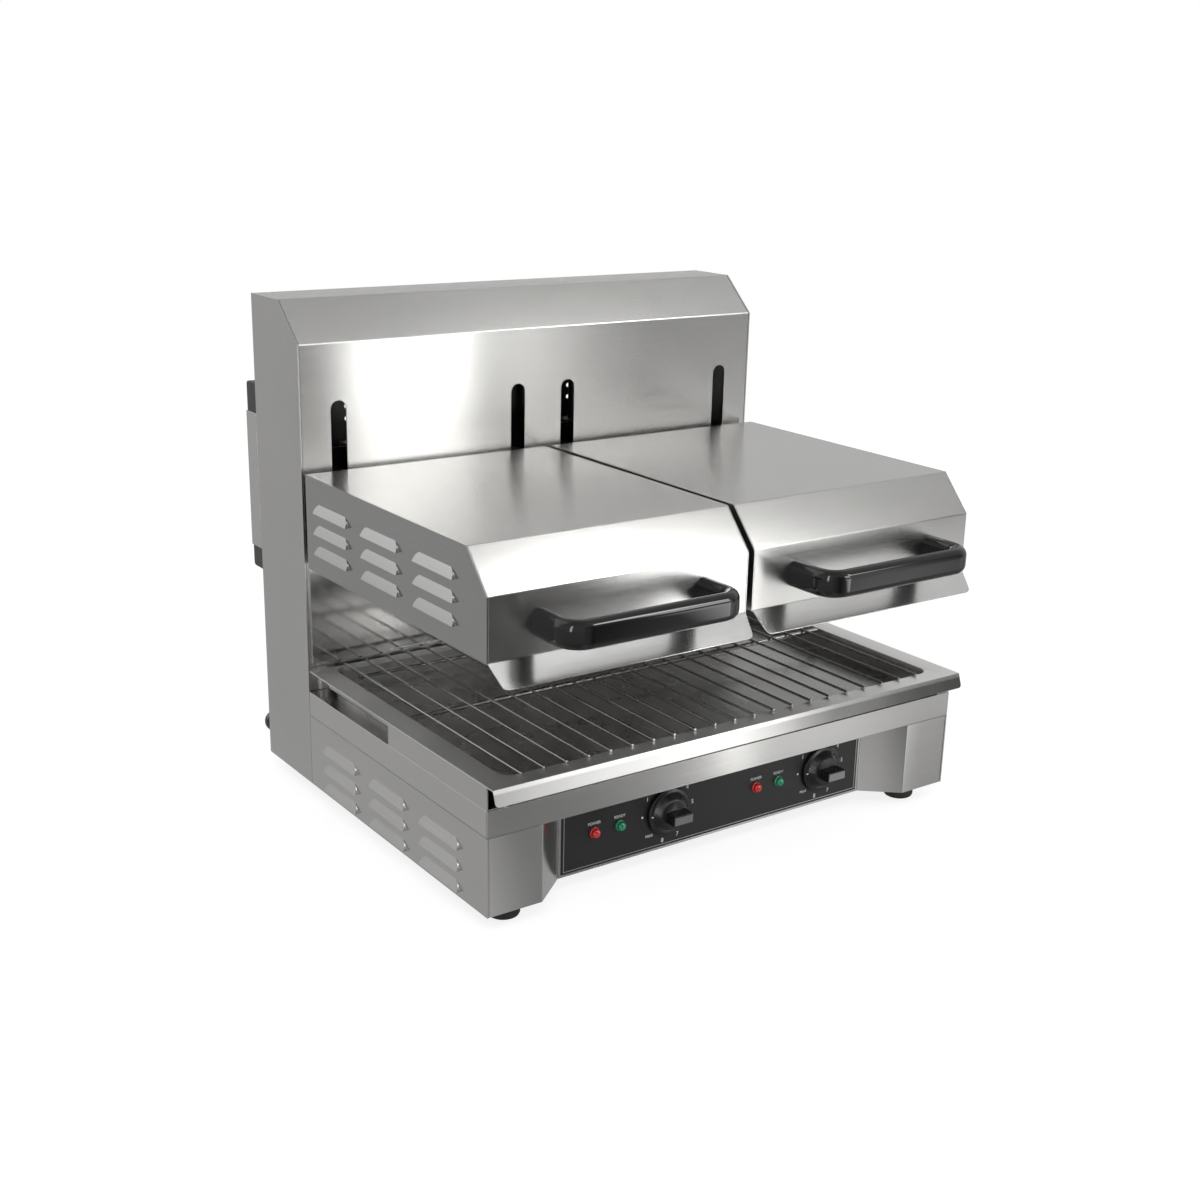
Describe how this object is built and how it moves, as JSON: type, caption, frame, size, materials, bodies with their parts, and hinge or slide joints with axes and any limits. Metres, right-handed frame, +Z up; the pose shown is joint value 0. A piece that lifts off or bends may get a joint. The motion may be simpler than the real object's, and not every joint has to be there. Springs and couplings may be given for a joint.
{
  "type": "cheese melter",
  "caption": "Counter-top melter: base with drip pan and wire rack, rear tower, and side-by-side heating heads that lift on guide rods by bow handles, with a dial and lamps for each.",
  "frame": {"origin": "floor level, at the centre of the overall footprint (handles, side louvres and wall spacers included)", "axes": "+X to the right seen from the front, +Y to the rear, +Z up"},
  "size_m": [0.61, 0.571, 0.542],
  "materials": {
    "brushed_stainless": "brushed, fine horizontal grain",
    "polished_stainless": "near-mirror polish",
    "plain_steel": "zinc plated, dull",
    "bright_fasteners": "bright zinc plate",
    "heater_metal": "oxidised, matt",
    "bronze": "sintered, dull",
    "gloss_black": "high gloss",
    "knob_black": "satin",
    "label_black": "satin printed film",
    "foot_rubber": "matt",
    "grey_plastic": "matt",
    "red_lens": "clear red, glossy",
    "green_lens": "clear green, glossy",
    "ceramic": "matt"
  },
  "bodies": {
    "cabinet": {"tower_side_left": "brushed_stainless", "tower_side_right": "brushed_stainless", "tower_wrapper": "brushed_stainless", "splash_back": "polished_stainless", "back_panel": "brushed_stainless", "back_screws": "bright_fasteners", "wall_spacers": "grey_plastic", "spacer_covers": "brushed_stainless", "cable_gland": "gloss_black", "guide_rods": "bright_fasteners", "rod_bars": "plain_steel", "stop_buffers": "foot_rubber", "base_top": "brushed_stainless", "base_side_left": "brushed_stainless", "base_side_right": "brushed_stainless", "leg_left": "brushed_stainless", "leg_right": "brushed_stainless", "fascia": "brushed_stainless", "label_plate": "label_black", "base_bottom": "plain_steel", "pan_guards": "brushed_stainless", "feet": "foot_rubber", "foot_screws": "bright_fasteners", "regulators": "grey_plastic", "pilot_lamps_red": "red_lens", "pilot_lamps_green": "green_lens", "terminal_block": "ceramic", "lift_spring_left": "bright_fasteners", "lift_spring_right": "bright_fasteners"},
    "left_head": {"head_cover_left": "brushed_stainless", "head_side_outer_left": "brushed_stainless", "head_side_inner_left": "brushed_stainless", "head_rear_left": "brushed_stainless", "deflector_left": "polished_stainless", "reflector_left": "polished_stainless", "elements_left": "heater_metal", "element_clips_left": "bright_fasteners", "handle_left": "gloss_black", "head_screws_left": "bright_fasteners", "carriage_left": "plain_steel", "bushes_left": "bronze"},
    "right_head": {"head_cover_right": "brushed_stainless", "head_side_outer_right": "brushed_stainless", "head_side_inner_right": "brushed_stainless", "head_rear_right": "brushed_stainless", "deflector_right": "polished_stainless", "reflector_right": "polished_stainless", "elements_right": "heater_metal", "element_clips_right": "bright_fasteners", "handle_right": "gloss_black", "head_screws_right": "bright_fasteners", "carriage_right": "plain_steel", "bushes_right": "bronze"},
    "left_knob": {"knob_left": "knob_black", "knob_shaft_left": "bright_fasteners"},
    "right_knob": {"knob_right": "knob_black", "knob_shaft_right": "bright_fasteners"},
    "pan": {"drip_pan": "polished_stainless"},
    "rack": {"wire_rack": "polished_stainless"}
  },
  "joints": [
    {"name": "left_lift", "type": "slide", "parent": "cabinet", "child": "left_head", "axis": [0, 0, 1], "range_m": [-0.06, 0.07], "deforming": ["lift_spring_left"]},
    {"name": "right_lift", "type": "slide", "parent": "cabinet", "child": "right_head", "axis": [0, 0, 1], "range_m": [-0.06, 0.07], "deforming": ["lift_spring_right"]},
    {"name": "left_dial", "type": "hinge", "parent": "cabinet", "child": "left_knob", "pos_m": [-0.067, -0.1925, 0.059], "axis": [0, 1, 0], "range_deg": [0, 315]},
    {"name": "right_dial", "type": "hinge", "parent": "cabinet", "child": "right_knob", "pos_m": [0.141, -0.1925, 0.059], "axis": [0, 1, 0], "range_deg": [0, 315]},
    {"name": "pan_slide", "type": "slide", "parent": "cabinet", "child": "pan", "axis": [0, -1, 0], "range_m": [0, 0.3]},
    {"name": "rack_lift", "type": "slide", "parent": "pan", "child": "rack", "axis": [0, 0, 1], "range_m": [0, 0.025]}
  ]
}
